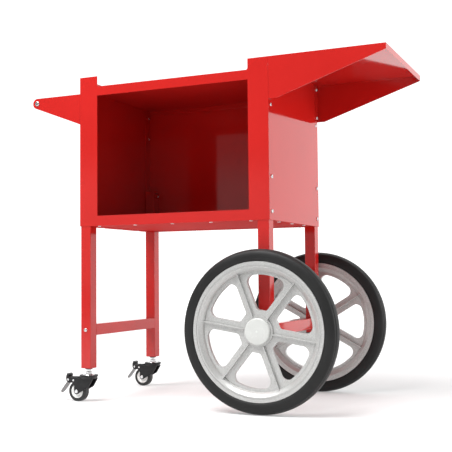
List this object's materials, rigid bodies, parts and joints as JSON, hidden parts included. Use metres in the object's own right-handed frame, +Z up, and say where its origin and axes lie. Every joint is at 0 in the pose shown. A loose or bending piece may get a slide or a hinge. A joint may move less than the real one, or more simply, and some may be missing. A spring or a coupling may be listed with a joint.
{
  "type": "popcorn cart",
  "caption": "Wheeled display cart: open-front folded steel cabinet on tube legs, with a push handle, a folded side shelf, large spoked wheels and braked swivel casters.",
  "frame": {"origin": "on the ground under the middle of the whole cart's box, wheels and casters standing at Z=0", "axes": "+X from the push handle to the side shelf, +Y from the open front to the closed back, +Z up"},
  "size_m": [0.9283, 0.457, 0.812],
  "materials": {
    "red_paint": "gloss powder coat",
    "black_plastic": "satin moulded",
    "zinc": "bright zinc plate",
    "silver_plastic": "silver moulded satin",
    "pale_plastic": "pale grey gloss",
    "tyre_rubber": "smooth solid rubber",
    "black_steel": "black electrocoat",
    "pedal_steel": "grey plated",
    "white_plastic": "white moulded",
    "caster_rubber": "black rubber tread"
  },
  "bodies": {
    "cart": {"front_frame": "red_paint", "rear_panel": "red_paint", "left_side_panel": "red_paint", "right_side_panel": "red_paint", "cabinet_floor": "red_paint", "top_deck": "red_paint", "front_left_leg": "red_paint", "rear_left_leg": "red_paint", "front_right_leg": "red_paint", "rear_right_leg": "red_paint", "left_brace": "red_paint", "right_brace": "red_paint", "leg_end_caps": "black_plastic", "caster_sockets": "black_plastic", "front_handle_arm": "red_paint", "rear_handle_arm": "red_paint", "handle_bar": "red_paint", "side_shelf": "red_paint", "wheel_axle": "zinc", "axle_spacers": "zinc", "axle_washers": "zinc", "axle_nuts": "zinc", "long_bolts": "zinc", "short_bolts": "zinc", "nuts": "red_paint", "grip_bolts": "zinc", "panel_rivets": "zinc", "floor_rivets": "zinc", "caster_stems": "zinc", "caster_races": "zinc", "caster_lock_nuts": "zinc"},
    "front_wheel": {"front_wheel_rim": "silver_plastic", "front_wheel_spokes": "silver_plastic", "front_wheel_hub": "silver_plastic", "front_wheel_tyre": "tyre_rubber", "front_wheel_cap": "pale_plastic", "front_wheel_bush": "black_plastic"},
    "rear_wheel": {"rear_wheel_rim": "silver_plastic", "rear_wheel_spokes": "silver_plastic", "rear_wheel_hub": "silver_plastic", "rear_wheel_tyre": "tyre_rubber", "rear_wheel_cap": "pale_plastic", "rear_wheel_bush": "black_plastic"},
    "front_caster": {"front_caster_fork": "black_steel", "front_caster_axle": "zinc", "front_caster_pedal_pin": "zinc", "front_caster_fork_rivet": "zinc"},
    "front_caster_wheel": {"front_caster_core": "white_plastic", "front_caster_tyre": "caster_rubber"},
    "front_caster_brake": {"front_caster_pedal": "black_steel", "front_caster_tongue": "pedal_steel"},
    "rear_caster": {"rear_caster_fork": "black_steel", "rear_caster_axle": "zinc", "rear_caster_pedal_pin": "zinc", "rear_caster_fork_rivet": "zinc"},
    "rear_caster_wheel": {"rear_caster_core": "white_plastic", "rear_caster_tyre": "caster_rubber"},
    "rear_caster_brake": {"rear_caster_pedal": "black_steel", "rear_caster_tongue": "pedal_steel"}
  },
  "joints": [
    {"name": "front_wheel_spin", "type": "hinge", "parent": "cart", "child": "front_wheel", "pos_m": [0.17275, -0.209, 0.1845], "axis": [0, 1, 0], "continuous": true},
    {"name": "rear_wheel_spin", "type": "hinge", "parent": "cart", "child": "rear_wheel", "pos_m": [0.17275, 0.209, 0.1845], "axis": [0, 1, 0], "continuous": true},
    {"name": "front_caster_swivel", "type": "hinge", "parent": "cart", "child": "front_caster", "pos_m": [-0.30445, -0.1648, 0.0665], "axis": [0, 0, 1], "continuous": true},
    {"name": "front_caster_roll", "type": "hinge", "parent": "front_caster", "child": "front_caster_wheel", "pos_m": [-0.33345, -0.1648, 0.025], "axis": [0, 1, 0], "continuous": true},
    {"name": "front_caster_brake_press", "type": "hinge", "parent": "front_caster", "child": "front_caster_brake", "pos_m": [-0.35723, -0.1648, 0.05334], "axis": [0, -1, 0], "range_deg": [0, 14]},
    {"name": "rear_caster_swivel", "type": "hinge", "parent": "cart", "child": "rear_caster", "pos_m": [-0.30445, 0.1648, 0.0665], "axis": [0, 0, 1], "continuous": true},
    {"name": "rear_caster_roll", "type": "hinge", "parent": "rear_caster", "child": "rear_caster_wheel", "pos_m": [-0.33345, 0.1648, 0.025], "axis": [0, 1, 0], "continuous": true},
    {"name": "rear_caster_brake_press", "type": "hinge", "parent": "rear_caster", "child": "rear_caster_brake", "pos_m": [-0.35723, 0.1648, 0.05334], "axis": [0, -1, 0], "range_deg": [0, 14]}
  ]
}
